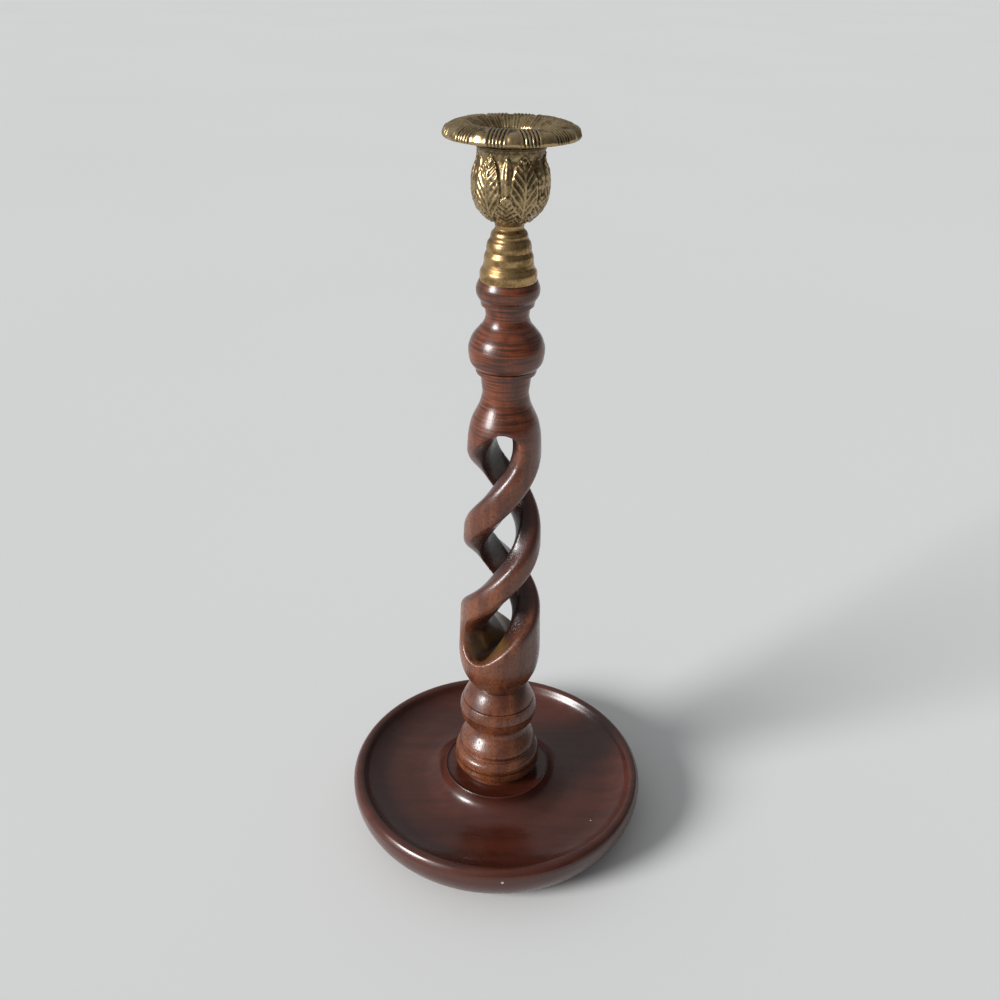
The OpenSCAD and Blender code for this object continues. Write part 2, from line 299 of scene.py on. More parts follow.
def placeGroup(tree, group, inputs):
    node = tree.nodes.new("ShaderNodeGroup")
    node.node_tree = group
    for key, value in inputs.items():
        if isinstance(value, bpy.types.NodeSocket):
            tree.links.new(value, node.inputs[key])
        else:
            node.inputs[key].default_value = value
    return node


def bumpFrom(tree, shader, height, distance, strength=1.0):
    bump = add(tree, "ShaderNodeBump", {"Strength": strength, "Distance": distance * mm, "Height": height})
    tree.links.new(bump.outputs[0], shader.inputs["Normal"])


# soft and inside are painted shade: soft for the strands' upper side faces, inside for the inside of the gaps
stemColours = {
    "pale": (0.2, 0.062, 0.024, 1), "deep": (0.085, 0.021, 0.009, 1), "pore": (0.02, 0.006, 0.003, 1),
    "upperPale": (0.2, 0.045, 0.012, 1), "soft": (0.05, 0.012, 0.009, 1), "inside": (0.016, 0.005, 0.004, 1),
    "hollowFloor": (0.13, 0.07, 0.022, 1), "polish": 0.25,
}


def makeStemPolish():
    finish, tree, shader, place = newFinish("stemPolish")
    height = add(tree, "ShaderNodeSeparateXYZ", {0: place}).outputs[2]
    upper = remap(tree, height, 0.212, 0.225)
    figure = placeGroup(tree, woodFigure, {
        "Coordinates": place, "Deep": stemColours["deep"], "Pore": stemColours["pore"],
        "Pale": mixColours(tree, upper, stemColours["pale"], stemColours["upperPale"]),
        "Streaks": remap(tree, height, 0.2, 0.23, 0.12, 0.8),
        "Pores": remap(tree, height, 0.212, 0.225, 0.7, 0.25)})
    # painted shade on the strands' soft upper sides, where they turn away from the light
    colour = mixColours(tree, remap(tree, readMark(tree, "softSideShade"), 0.0, 1.0, 0.0, 0.7),
                        figure.outputs["Colour"], stemColours["soft"])
    # painted shade inside the gaps, nearly black; the floor of the bottom hollow then gets a lighter olive
    # tone over it
    colour = mixColours(tree, remap(tree, readMark(tree, "inside"), 0.0, 1.0, 0.0, 0.85),
                        colour, stemColours["inside"])
    colour = mixColours(tree, readMark(tree, "hollowFloor"), colour, stemColours["hollowFloor"])
    # grooves and hollows darkened towards the pore colour: partly old polish gathered in them, partly painted
    # shade
    colour = mixColours(tree, remap(tree, readMark(tree, "hollow"), 0.08, 0.6, 0.0, 0.92),
                        colour, stemColours["pore"])
    tree.links.new(colour, shader.inputs["Base Color"])
    tree.links.new(figure.outputs["Roughness"], shader.inputs["Roughness"])
    shader.inputs["Coat Weight"].default_value = stemColours["polish"]
    shader.inputs["Coat Roughness"].default_value = 0.16
    bumpFrom(tree, shader, figure.outputs["Height"], 0.05)
    return finish


dishColours = {
    "pale": (0.078, 0.0165, 0.0075, 1), "deep": (0.05, 0.01, 0.005, 1), "pore": (0.015, 0.004, 0.003, 1),
    "bare": (0.55, 0.42, 0.36, 1), "polish": 0.3,
    "chips": (((4.1, -76.3, 20.0), 0.9), ((49.2, -31.6, 17.1), 0.45)),
}


def makeDishPolish():
    finish, tree, shader, place = newFinish("dishPolish")
    lying = stretched(tree, place, (1, 1, 1), (0, math.radians(90), 0))  # the board lies flat
    figure = placeGroup(tree, woodFigure, {
        "Coordinates": lying, "Pale": dishColours["pale"], "Deep": dishColours["deep"],
        "Pore": dishColours["pore"], "Streaks": 0.0, "Pores": 0.25})
    colour = figure.outputs["Colour"]
    wobble = cloudy(tree, place, 900, 2, 0.5)
    for spot, size in dishColours["chips"]:
        away = add(tree, "ShaderNodeVectorMath", {0: place, 1: [v * mm for v in spot]},
                   operation="DISTANCE").outputs["Value"]
        edge = calculate(tree, "ADD", away, calculate(tree, "MULTIPLY", wobble, size * mm))
        colour = mixColours(tree, remap(tree, edge, size * 1.5 * mm, size * 1.2 * mm),
                            colour, dishColours["bare"])
    tree.links.new(colour, shader.inputs["Base Color"])
    tree.links.new(figure.outputs["Roughness"], shader.inputs["Roughness"])
    shader.inputs["Coat Weight"].default_value = dishColours["polish"]
    shader.inputs["Coat Roughness"].default_value = 0.14
    bumpFrom(tree, shader, figure.outputs["Height"], 0.03)
    return finish


def makeBrass(name, clean, dull, dirt, turnedLines):
    finish, tree, shader, place = newFinish(name)
    worn = placeGroup(tree, agedBrass, {
        "Coordinates": place, "Clean": clean, "Dull": dull, "Dirt": dirt,
        "Hollow": readMark(tree, "hollow"), "Ridge": readMark(tree, "ridge")})
    tree.links.new(worn.outputs["Colour"], shader.inputs["Base Color"])
    tree.links.new(worn.outputs["Roughness"], shader.inputs["Roughness"])
    tree.links.new(worn.outputs["Metal"], shader.inputs["Metallic"])
    lines = cloudy(tree, stretched(tree, place, (0.02, 0.02, 1)), 1800, 2, 0.5)
    height = calculate(tree, "ADD", worn.outputs["Height"], calculate(tree, "MULTIPLY", lines, turnedLines))
    bumpFrom(tree, shader, height, 0.05)
    return finish


def makeScrewSteel():
    finish, tree, shader, place = newFinish("screwSteel")
    patches = cloudy(tree, place, 500, 4, 0.6)
    tint = mixColours(tree, remap(tree, patches, 0.4, 0.65), (0.42, 0.41, 0.4, 1), (0.2, 0.17, 0.14, 1))
    tree.links.new(tint, shader.inputs["Base Color"])
    tree.links.new(remap(tree, patches, 0.3, 0.7, 0.3, 0.5), shader.inputs["Roughness"])
    shader.inputs["Metallic"].default_value = 1.0
    bumpFrom(tree, shader, patches, 0.04)
    return finish


stemPolish = makeStemPolish()
dishPolish = makeDishPolish()
turnedBrass = makeBrass("turnedBrass", (0.46, 0.3, 0.135, 1), (0.2, 0.12, 0.052, 1),
                        (0.03, 0.018, 0.01, 1), 0.8)
castBrass = makeBrass("castBrass", (0.45, 0.33, 0.17, 1), (0.15, 0.098, 0.045, 1),
                      (0.012, 0.008, 0.006, 1), 0.0)
screwSteel = makeScrewSteel()
print("finishes mixed")


def finishPiece(piece, body, slot, finish, *nodes):
    piece.data.materials.clear()
    piece.data.materials.append(finish)
    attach(piece, body)
    if nodes:
        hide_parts(*nodes)


dish = {
    "radius": 76.4, "height": 25.4, "floor": 16.8, "bossLip": 27.2, "boss": 26.6,
    "footRadius": 56.3, "wallHeight": 20.0, "recessRadius": 46.0, "recess": 1.2,
    "screwRadius": 2.2, "headRadius": 4.25, "mortiseRadius": 9.5, "mortiseFloor": 8.0,
    "segments": 160, "step": 1.3,
}


def turnDish():
    edge, crest, floor = dish["radius"], dish["height"], dish["floor"]
    lip, boss, recess = dish["bossLip"], dish["boss"], dish["recess"]
    foot = dish["footRadius"]
    wall = [(foot + (edge - foot) * math.sin(a), dish["wallHeight"] * (1 - math.cos(a)))
            for a in [math.pi / 2 * i / 22 for i in range(23)]]
    rim = smoothRun([(edge, dish["wallHeight"]), (edge, crest - 3.6), (edge - 0.6, crest - 2),
                     (edge - 1.8, crest - 0.5), (edge - 3.5, crest), (edge - 5.1, crest - 0.5),
                     (edge - 6.1, crest - 1.8)])
    cove = smoothRun([(edge - 6.1, crest - 1.8), (edge - 7.8, crest - 4.2), (edge - 11.4, crest - 6.6),
                      (edge - 16.6, floor + 0.4), (edge - 22, floor)])
    skirt = smoothRun([(lip + 17, floor), (lip + 11, floor + 0.7), (lip + 6, floor + 2.8),
                       (lip + 2.6, boss - 4.6), (lip + 0.9, boss - 1.6), (lip + 0.3, boss + 0.2),
                       (lip - 0.1, boss + 0.6), (lip - 0.5, boss + 0.2), (lip - 0.9, boss)])
    hole = dish["screwRadius"]
    outline = joinRuns(
        [(hole, dish["mortiseFloor"]), (hole, recess + 2.1), (dish["headRadius"], recess),
         (dish["recessRadius"] - 0.4, recess), (dish["recessRadius"], recess - 0.3),
         (dish["recessRadius"], 0.3), (dish["recessRadius"] + 0.4, 0)],
        wall, rim, cove, skirt,
        [(dish["mortiseRadius"], boss), (dish["mortiseRadius"], dish["mortiseFloor"]),
         (hole, dish["mortiseFloor"])])
    piece = turnOnLathe("dishTurned", stepEvenly(outline, dish["step"]), dish["segments"])
    smoothShade(piece, 50)
    markHollows(piece, 10, 0.6)
    finishPiece(piece, "candlestick", "dish_wood", dishPolish, "dish_base")


turnDish()
print("dish turned")


stem = {
    "foot": 26.6, "tenonRadius": 9.5, "tenonBottom": 8.5, "ballZ": 81.3, "neckZ": 250.75,
    "collarZ": 291.78, "spigotRadius": 8.5, "spigotTop": 303.0, "overlap": 1.8,
    "segments": 96, "step": 0.9,
}
# turned runs, each smooth between two sharp corners, as (radius, height)
footRuns = [
    [(18.0, 26.6), (18.2, 29.4), (20.0, 31.5), (21.9, 32.2)],
    [(22.0, 32.4), (22.15, 34.0), (22.0, 35.8)],
    [(21.0, 35.9), (21.0, 36.3)],
    [(21.8, 36.6), (22.0, 38.2), (21.3, 40.6), (19.6, 42.2)],
    [(18.5, 42.5), (18.4, 43.3), (19.3, 45.0)],
    [(19.6, 45.5), (19.7, 46.2), (18.6, 48.6), (16.8, 51.0), (15.0, 53.7), (14.25, 56.8), (14.6, 60.2)],
    [(18.3, 60.65), (19.2, 62.8), (19.7, 66.2)],
    [(19.2, 66.4), (19.2, 66.8)],
    [(19.7, 66.9), (19.3, 69.4), (18.1, 72.2)],
    [(17.2, 72.35), (17.2, 72.8)],
    [(17.9, 73.0), (16.5, 76.0), (14.5, 79.3), (12.6, 81.3)],
]
ballRun = [(12.5, 81.2), (13.9, 83.1), (15.7, 85.8), (17.1, 88.4), (18.7, 92.3), (19.6, 96.1),
           (20.1, 100.0), (20.3, 104.0)]
swellRun = [(16.85, 214.5), (16.5, 220.8), (15.9, 224.7), (14.85, 228.6), (13.1, 232.5), (11.4, 236.3),
            (10.5, 240.1), (10.35, 242.0), (10.8, 245.8), (11.3, 250.5)]
headRuns = [
    [(13.1, 250.75), (13.4, 251.6), (13.4, 253.2)],
    [(12.8, 253.4), (12.8, 253.8)],
    [(14.6, 254.1), (15.9, 256.1), (16.55, 259.2), (16.68, 261.6), (16.45, 263.5), (15.1, 267.1),
     (12.4, 270.6), (10.6, 272.8), (9.6, 275.2), (9.4, 277.2), (10.0, 280.7)],
    [(11.4, 281.1), (11.75, 283.2)],
    [(12.0, 283.6), (12.8, 284.7), (13.4, 286.0), (13.65, 287.6), (13.5, 289.2), (12.9, 290.8),
     (12.4, 291.78)],
]
twist = {
    "pitch": 97.5, "strandFrontZ": 193.6, "gapHalf": math.radians(56), "lowZ": 115.0, "highZ": 215.0,
    "innerFace": 6.4, "innerHalf": 7.1, "lowRadius": 20.3, "lowTaperZ": 104.0,
    "highRadius": 16.85, "highTaperZ": 214.5, "cutterRadius": 24.0,
    "softRound": 5.6, "softDeep": 3.2, "crispRound": 4.4, "crispDeep": 2.8, "edgeSteps": 9,
    "runOut": 4.0, "mouthSteps": 4,
    # how far the hand-cut edges stray from the even twist, as (height, degrees)
    "startStray": [(100, -17), (112, -17), (121, -13), (131, -13), (146, -16), (156, -11), (168, -4),
                   (180, -3), (199, -4), (212, 2), (222, 8), (232, 8)],
    "endStray": [(100, -20), (112, -20), (119, -20), (128, -13), (138, -6), (150, -2), (201, 1),
                 (214, 0), (222, 6), (232, 7)],
    "endSteps": 14, "endLast": math.radians(85), "sliceStep": 1.2,
    "voxel": 0.76, "smoothing": 8, "segments": 144,
}


def taperRadius(z):
    share = (z - twist["lowTaperZ"]) / (twist["highTaperZ"] - twist["lowTaperZ"])
    return twist["lowRadius"] + (twist["highRadius"] - twist["lowRadius"]) * share


def gapMiddle(z):
    return math.tau * (z - twist["strandFrontZ"]) / twist["pitch"]


def endRadius(z):
    rise = math.atan(twist["pitch"] / (math.tau * taperRadius(z)))
    return taperRadius(z) * twist["gapHalf"] * math.sin(rise), rise


def stray(side, z):
    heights, degrees = zip(*twist[side])
    return math.radians(float(np.interp(z, heights, degrees)))


def gapEdges(z):
    # both edges of a gap at height z, as angles: straight between its two round ends
    half = twist["gapHalf"]
    start, end = gapMiddle(z) - half, gapMiddle(z) + half
    lowRadius, lowRise = endRadius(twist["lowZ"])
    highRadius, highRise = endRadius(twist["highZ"])

    def roundEnd(centre, radius):
        return math.sqrt(max(0, radius ** 2 - (z - centre) ** 2)) / taperRadius(centre)

    low, high = z - twist["lowZ"], z - twist["highZ"]
    if high > highRadius * math.cos(highRise):
        start = gapMiddle(twist["highZ"]) - roundEnd(twist["highZ"], highRadius)
    if high > -highRadius * math.cos(highRise):
        end = gapMiddle(twist["highZ"]) + roundEnd(twist["highZ"], highRadius)
    if low < lowRadius * math.cos(lowRise):
        start = gapMiddle(twist["lowZ"]) - roundEnd(twist["lowZ"], lowRadius)
    if low < -lowRadius * math.cos(lowRise):
        end = gapMiddle(twist["lowZ"]) + roundEnd(twist["lowZ"], lowRadius)
    return start + stray("startStray", z), end + stray("endStray", z)


def halfSlice(z):
    # one mouth of the gap in its own frame, from the strand's inner face out past the wood;
    # both sides flare, which leaves the strand's upper edge soft and its lower edge less so
    start, end = (edge - gapMiddle(z) for edge in gapEdges(z))
    radius = taperRadius(z)
    share = min(1, max(0.02, (end - start) / (2 * twist["gapHalf"])))

    def inner(angle):
        return Vector((twist["innerHalf"], twist["innerFace"] * math.sin(angle) / math.sin(twist["gapHalf"])))

    def polar(r, angle):
        return Vector((r * math.cos(angle), r * math.sin(angle)))

    def flare(angle, side, width, depth):
        # from off the wood, over a quarter of an ellipse, to the flat side of the gap
        corner = polar(radius, angle)
        outTo = polar(radius, angle + side * width * share / radius) - corner
        downTo = (inner(angle) - corner).normalized() * depth * share
        steps = twist["edgeSteps"]
        edge = [corner + outTo * (1 - math.sin(t)) + downTo * (1 - math.cos(t))
                for t in [math.pi / 2 * i / steps for i in range(steps + 1)]]
        return [edge[0] + outTo.normalized() * twist["runOut"]] + edge

    crisp = flare(start, -1, twist["crispRound"], twist["crispDeep"])
    soft = flare(end, 1, twist["softRound"], twist["softDeep"])
    first, last = (math.atan2(side[0].y, side[0].x) for side in (crisp, soft))
    arc = [polar(twist["cutterRadius"], first + (last - first) * i / twist["mouthSteps"])
           for i in range(twist["mouthSteps"] + 1)]
    return [inner(start)] + crisp[::-1] + arc + soft + [inner(end)]


def sliceHeights():
    lowRadius, highRadius = endRadius(twist["lowZ"])[0], endRadius(twist["highZ"])[0]
    steps, last = twist["endSteps"], twist["endLast"]
    low = [twist["lowZ"] - lowRadius * math.sin(last * (1 - i / steps)) for i in range(steps)]
    count = round((twist["highZ"] - twist["lowZ"]) / twist["sliceStep"])
    middle = [twist["lowZ"] + (twist["highZ"] - twist["lowZ"]) * i / count for i in range(count + 1)]
    high = [twist["highZ"] + highRadius * math.sin(last * i / steps) for i in range(1, steps + 1)]
    return low + middle + high


def makeGapCutter():
    rings = []
    for z in sliceHeights():
        half = halfSlice(z)
        ring = []
        for turned in (0, math.pi):
            angle = gapMiddle(z) + turned
            for p in half:
                ring.append(((p.x * math.cos(angle) - p.y * math.sin(angle)) * mm,
                             (p.x * math.sin(angle) + p.y * math.cos(angle)) * mm, z * mm))
        rings.append(ring)
    count = len(rings[0])
    points = [p for ring in rings for p in ring]
    faces = [(k * count + i, k * count + (i + 1) % count,
              (k + 1) * count + (i + 1) % count, (k + 1) * count + i)
             for k in range(len(rings) - 1) for i in range(count)]
    faces.append(tuple(range(count - 1, -1, -1)))
    faces.append(tuple(range((len(rings) - 1) * count, len(rings) * count)))
    mesh = bpy.data.meshes.new("gapCutter")
    mesh.from_pydata(points, [], faces)
    cutter = bpy.data.objects.new("gapCutter", mesh)
    bpy.context.scene.collection.objects.link(cutter)
    selectOnly(cutter)
    bpy.ops.object.mode_set(mode="EDIT")
    bpy.ops.mesh.select_all(action="SELECT")
    bpy.ops.mesh.normals_make_consistent(inside=False)
    bpy.ops.object.mode_set(mode="OBJECT")
    return cutter


def carveTwist():
    low, high = stem["ballZ"] - stem["overlap"], stem["neckZ"] + stem["overlap"]
    outline = joinRuns([(0, low), (ballRun[0][0] - stem["overlap"], low)], smoothRun(ballRun),
                       smoothRun(swellRun), [(swellRun[-1][0], high), (0, high)])
    outline = stepEvenly(outline, 1.5)
    body = turnOnLathe("twistBody", outline, twist["segments"])
    cutter = makeGapCutter()
    applyModifier(body, "BOOLEAN", object=cutter, operation="DIFFERENCE", solver="EXACT")
    bpy.data.objects.remove(cutter, do_unlink=True)
    print("gaps cut:", len(body.data.vertices), "points")
    applyModifier(body, "REMESH", mode="VOXEL", voxel_size=twist["voxel"] * mm)
    applyModifier(body, "SMOOTH", factor=0.5, iterations=twist["smoothing"])
    # the turned face is brought back to its true radius, where the smoothing only just moved it
    points, _ = readPoints(body)
    heights = [z for _, z in outline[1:-1]]
    radii = [r for r, _ in outline[1:-1]]
    away = np.hypot(points[:, 0], points[:, 1])
    true = np.interp(points[:, 2], heights, radii)
    hold = np.clip((0.12 - np.abs(true - away)) / 0.08, 0, 1)
    inReach = (points[:, 2] > stem["ballZ"]) & (points[:, 2] < stem["neckZ"])
    grow = np.where(inReach, 1 + (true / np.maximum(away, 1) - 1) * hold, 1)
    points[:, 0] *= grow
    points[:, 1] *= grow
    writePoints(body, points)
    return body


def fadeBetween(z, low, high, fade):
    return np.clip((z - low) / fade, 0, 1) * np.clip((high - z) / fade, 0, 1)


def markTwist(piece):
    # where each point lies on its strand, for the finish: painted shade inside the gaps and on the strands'
    # soft upper sides, and a lighter tone on the bottom hollow's floor
    points, _ = readPoints(piece)
    x, y, z = points.T
    away = np.hypot(x, y)
    envelope = taperRadius(z)
    # how deep a point lies inside the strands' envelope, for the painted shade inside the gaps
    writeMark(piece, "inside", fadeBetween(z, 96, 234, 6) * (envelope - away - 2.5) / 5)
    across = np.degrees(np.arctan2(y, x) - math.tau * (z - twist["strandFrontZ"]) / twist["pitch"]) % 180
    fromSoft = np.radians(across - math.degrees(twist["gapHalf"])) * envelope
    # the soft upper side of each strand, where its painted shade goes
    soft = np.clip(1 - (fromSoft - 1) / 4, 0, 1) * fadeBetween(z, 112, 216, 8)
    writeMark(piece, "softSideShade", soft * np.clip((fromSoft + 6) / 3, 0, 1))
    lowIn = np.clip((envelope - away - 1.5) / 3, 0, 1) * fadeBetween(z, 97, 117, 5)
    writeMark(piece, "hollowFloor", lowIn * 0.8)


def turnStem():
    tenon, bottom = stem["tenonRadius"], stem["tenonBottom"]
    foot = joinRuns([(0, bottom), (tenon, bottom), (tenon, stem["foot"])],
                    *[smoothRun(run) for run in footRuns],
                    [(10.8, stem["ballZ"] + stem["overlap"]), (0, stem["ballZ"] + stem["overlap"])])
    footPiece = turnOnLathe("stemTurned", stepEvenly(foot, stem["step"]), stem["segments"])
    head = joinRuns([(0, stem["neckZ"] - 0.05), (12.9, stem["neckZ"] - 0.05)],
                    *[smoothRun(run) for run in headRuns],
                    [(stem["spigotRadius"], stem["collarZ"]), (stem["spigotRadius"], stem["spigotTop"]),
                     (0, stem["spigotTop"])])
    headPiece = turnOnLathe("stemHead", stepEvenly(head, stem["step"]), stem["segments"])
    body = carveTwist()
    selectOnly(footPiece, headPiece, body)
    bpy.ops.object.join()
    # how deep the grooves lie, for the stem's darkening there: partly old polish, partly painted shade
    markHollows(footPiece, 40, 0.5)
    markTwist(footPiece)
    smoothShade(footPiece, 60)
    finishPiece(footPiece, "candlestick", "stem_wood", stemPolish, "twist_stem")
    print("stem:", len(footPiece.data.vertices), "points")


turnStem()
print("stem turned and carved")


ferrule = {"bottom": 291.78, "top": 315.0, "bore": 8.5, "boreTop": 303.3, "screwHole": 2.6,
           "segments": 128, "step": 0.4}
ferruleRuns = [
    [(12.13, 291.78), (12.1, 293.3)],
    [(12.17, 294.6), (11.9, 295.9), (11.14, 297.2)],
    [(10.8, 297.9), (10.58, 298.85), (10.42, 299.7), (10.42, 301.4)],
    [(10.33, 302.2), (10.0, 303.0), (9.55, 303.8)],
    [(9.4, 304.3), (9.45, 305.5), (9.3, 306.7), (8.9, 308.0), (8.2, 309.0), (7.9, 309.8), (7.88, 310.5)],
    [(7.7, 311.2), (7.3, 312.0), (6.5, 312.8)],
    [(6.0, 313.4), (6.0, 314.2), (6.1, 315.0)],
]


def turnFerrule():
    hole = ferrule["screwHole"]
    outline = joinRuns([(ferrule["bore"], ferrule["bottom"])], *[smoothRun(run, 3) for run in ferruleRuns],
                       [(hole, ferrule["top"]), (hole, ferrule["boreTop"]),
                        (ferrule["bore"], ferrule["boreTop"]), (ferrule["bore"], ferrule["bottom"])])
    piece = turnOnLathe("ferruleTurned", stepEvenly(outline, ferrule["step"]), ferrule["segments"])
    markHollows(piece, 14, 0.35)
    smoothShade(piece, 60)
    finishPiece(piece, "candlestick", "turned_brass", turnedBrass, "ferrule")


turnFerrule()
print("ferrule turned")


cup = {
    "bottom": 315.0, "rim": 346.0, "screwHole": 2.6, "neckBore": 11.8, "floor": 319.4, "relief": 0.75,
    "leafAngle": 24.0, "leaves": 6, "leafFrom": 2.0, "leafTo": 33.0, "segments": 336, "step": 0.45,
}
# bare bowl under the leaves, then the neck
bowlRun = [(6.1, 315.2), (7.0, 316.3), (8.9, 317.9), (10.6, 319.4), (12.7, 321.7), (14.1, 324.3),
           (15.0, 327.1), (15.4, 331.0), (15.3, 334.0), (14.7, 337.2), (13.6, 339.8), (13.06, 341.9)]
neckRun = [(13.06, 341.9), (13.16, 343.0), (13.5, 344.4), (14.0, 345.3), (14.0, 346.0)]


def placeOnOutline(piece, outline):
    # each point's angle from the front in degrees, and how far along the outline it lies
    points, normals = readPoints(piece)
    line = np.array(outline)
    along = np.concatenate([[0], np.cumsum(np.hypot(*np.diff(line, axis=0).T))])
    spot = np.stack([np.hypot(points[:, 0], points[:, 1]), points[:, 2]], 1)
    nearest = np.empty(len(points), int)
    for i in range(0, len(points), 4000):
        gaps = ((spot[i:i + 4000, None, :] - line[None]) ** 2).sum(2)
        nearest[i:i + 4000] = gaps.argmin(1)
    angle = np.degrees(np.arctan2(points[:, 0], -points[:, 1]))
    return points, normals, angle, along[nearest], spot[:, 0]


def wave(turns):
    return 0.5 + 0.5 * np.cos(math.tau * turns)


def ease(value):
    value = np.clip(value, 0, 1)
    return value * value * (3 - 2 * value)


def bowlLeaves(angle, along, radius, points):
    # tall veined leaves side by side, and a low frilled one between each two
    up = (along - cup["leafFrom"]) / (cup["leafTo"] - cup["leafFrom"])
    spacing = 360 / cup["leaves"]
    offset = (angle - cup["leafAngle"] + spacing / 2) % spacing - spacing / 2
    side = np.radians(offset) * radius + 0.5 * np.sin(3.0 * up)
    half = np.interp(up, [0, 0.12, 0.3, 0.5, 0.7, 0.85, 0.95, 1],
                     [1.2, 3.2, 5.6, 6.4, 5.6, 3.6, 1.4, 0.01])
    share = np.abs(side) / half
    blade = ease((1 - share) / 0.2)
    veins = wave((along - 1.35 * np.abs(side)) / 3.7) ** 2
    leaf = blade * (0.34 + 0.42 * veins * ease(share / 0.25) * ease((0.95 - share) / 0.2))
    leaf += 0.5 * np.exp(-(side / 0.5) ** 2) * ease((0.97 - up) / 0.05)
    leaf += 0.34 * np.exp(-((share - 0.9) * half / 0.5) ** 2)
    offset = (angle - cup["leafAngle"]) % spacing - spacing / 2
    side = np.radians(offset) * radius
    half = np.interp(up, [0, 0.1, 0.25, 0.38, 0.46, 0.5], [1.0, 2.8, 4.6, 3.8, 1.8, 0.01])
    half = half * (1 + 0.16 * np.cos(math.tau * 11 * up))
    share = np.abs(side) / half
    frill = ease((1 - share) / 0.2) * (0.5 + 0.3 * wave((along - 0.8 * np.abs(side)) / 2.3))
    frill += 0.3 * np.exp(-((share - 0.85) * half / 0.45) ** 2)
    half = np.interp(up, [0.4, 0.6, 0.8, 0.93, 0.98], [1.6, 2.6, 2.4, 1.2, 0.01])
    behind = ease((1 - np.abs(side) / half) / 0.3) * 0.3 + 0.22 * np.exp(-(side / 0.4) ** 2)
    behind *= ease((up - 0.4) / 0.05) * ease((0.98 - up) / 0.05)
    lumps = roughness3d(points, 1.7, 3.0) * 0.22
    within = ease(up / 0.06) * ease((1.02 - up) / 0.04)
    return within * (np.maximum(np.maximum(leaf, frill * (up < 0.52)), behind) + lumps)


def castCup():
    hole, rim = cup["screwHole"], cup["rim"]
    bore = cup["neckBore"]
    outside = joinRuns(smoothRun(bowlRun), smoothRun(neckRun))
    hollow = smoothRun([(bore, rim - 5.8), (12.9, 337.6), (13.5, 334.0), (13.6, 329.0), (12.5, 324.5),
                        (10.2, 321.4), (7.4, cup["floor"])])
    outline = stepEvenly(joinRuns([(hole, cup["bottom"]), (6.0, cup["bottom"])], outside,
                                  [(bore, rim)], hollow,
                                  [(hole, cup["floor"]), (hole, cup["bottom"])]), cup["step"])
    piece = turnOnLathe("cupCast", outline, cup["segments"])
    points, normals, angle, along, radius = placeOnOutline(piece, outline)
    first = math.dist((hole, cup["bottom"]), (6.0, cup["bottom"]))
    outer = ease((along - first - 1) / 1.0) * (along < first + cup["leafTo"] + 2)
    lift = bowlLeaves(angle, along - first, radius, points) * outer
    writePoints(piece, points + normals * lift[:, None])
    markHollows(piece, 10, 0.2)
    # darker from the top of the leaves on: the neck, and the inner wall where it is wider than the bore
    darkerAboveLeaves = ease((along - first - cup["leafTo"] + 1) / 2) * 0.45 * (radius > cup["neckBore"] + 0.3)
    hollows = np.empty(len(points), np.float32)
    piece.data.attributes["hollow"].data.foreach_get("value", hollows)
    writeMark(piece, "hollow", np.maximum(hollows, darkerAboveLeaves))
    smoothShade(piece)
    finishPiece(piece, "candlestick", "cast_brass", castBrass, "candle_cup")
    print("cup:", len(piece.data.vertices), "points")


castCup()
print("cup cast")


nozzle = {"bottom": 325.3, "floor": 326.1, "top": 349.7, "bore": 11.15, "outer": 11.75, "segments": 96}
pan = {
    "seat": 346.0, "seatRadius": 13.8, "tube": 11.75, "throat": 349.6, "edge": 27.2, "edgeZ": 349.8,
    "ridge": 355.2, "ridgeRadius": 18.5, "lobes": 12, "lobeAngle": 1.7, "segments": 432, "step": 0.42,
}


def drawTube():
    outline = [(0, nozzle["bottom"]), (nozzle["outer"] - 0.4, nozzle["bottom"]),
               (nozzle["outer"], nozzle["bottom"] + 0.4), (nozzle["outer"], nozzle["top"]),
               (nozzle["bore"], nozzle["top"]), (nozzle["bore"], nozzle["floor"]), (0, nozzle["floor"])]
    piece = turnOnLathe("tubeDrawn", stepEvenly(outline, 1.0), nozzle["segments"])
    markHollows(piece, 6, 0.6)
    smoothShade(piece, 50)
    finishPiece(piece, "nozzle", "nozzle_brass", turnedBrass, "nozzle_tube")


def panLeaves(angle, radius, points):
    # a tongue on each leaf, four ribs between each two tongues, and petals down the funnel
    spacing = 360 / pan["lobes"]
    offset = np.abs((angle - pan["lobeAngle"] + spacing / 2) % spacing - spacing / 2)
    outward = (radius - pan["ridgeRadius"]) / (pan["edge"] - pan["ridgeRadius"])
    tongueHalf = np.interp(outward, [0, 1], [4.0, 7.4])
    middle = np.clip(1 - (offset / tongueHalf) ** 2, 0, 1)
    tongue = 0.25 + middle * (0.75 * np.exp(-((outward - 0.8) / 0.22) ** 2)
                              - 0.35 * np.exp(-((outward - 0.35) / 0.22) ** 2))
    tongue += 0.35 * np.exp(-((offset - tongueHalf) * radius / 57.3 / 0.4) ** 2)
    ribFrom = tongueHalf + 1.9
    ribs = np.sin(math.pi * (offset - ribFrom) / (spacing / 2 - ribFrom) * 2) ** 2 * 0.62
    rolled = np.where(offset < ribFrom, tongue * ease((ribFrom - offset) / 1.5), ribs)
    petal = 0.5 * (1 - (offset / (spacing / 2)) ** 2) - 0.25 * np.exp(-(offset / 1.5) ** 2)
    petal += 0.12 * np.cos(math.tau * offset / 5)
    lumps = roughness3d(points, 1.6, 9.0) * 0.12
    onRoll = ease((outward + 0.1) / 0.14)
    return rolled * onRoll + petal * (1 - onRoll) + lumps


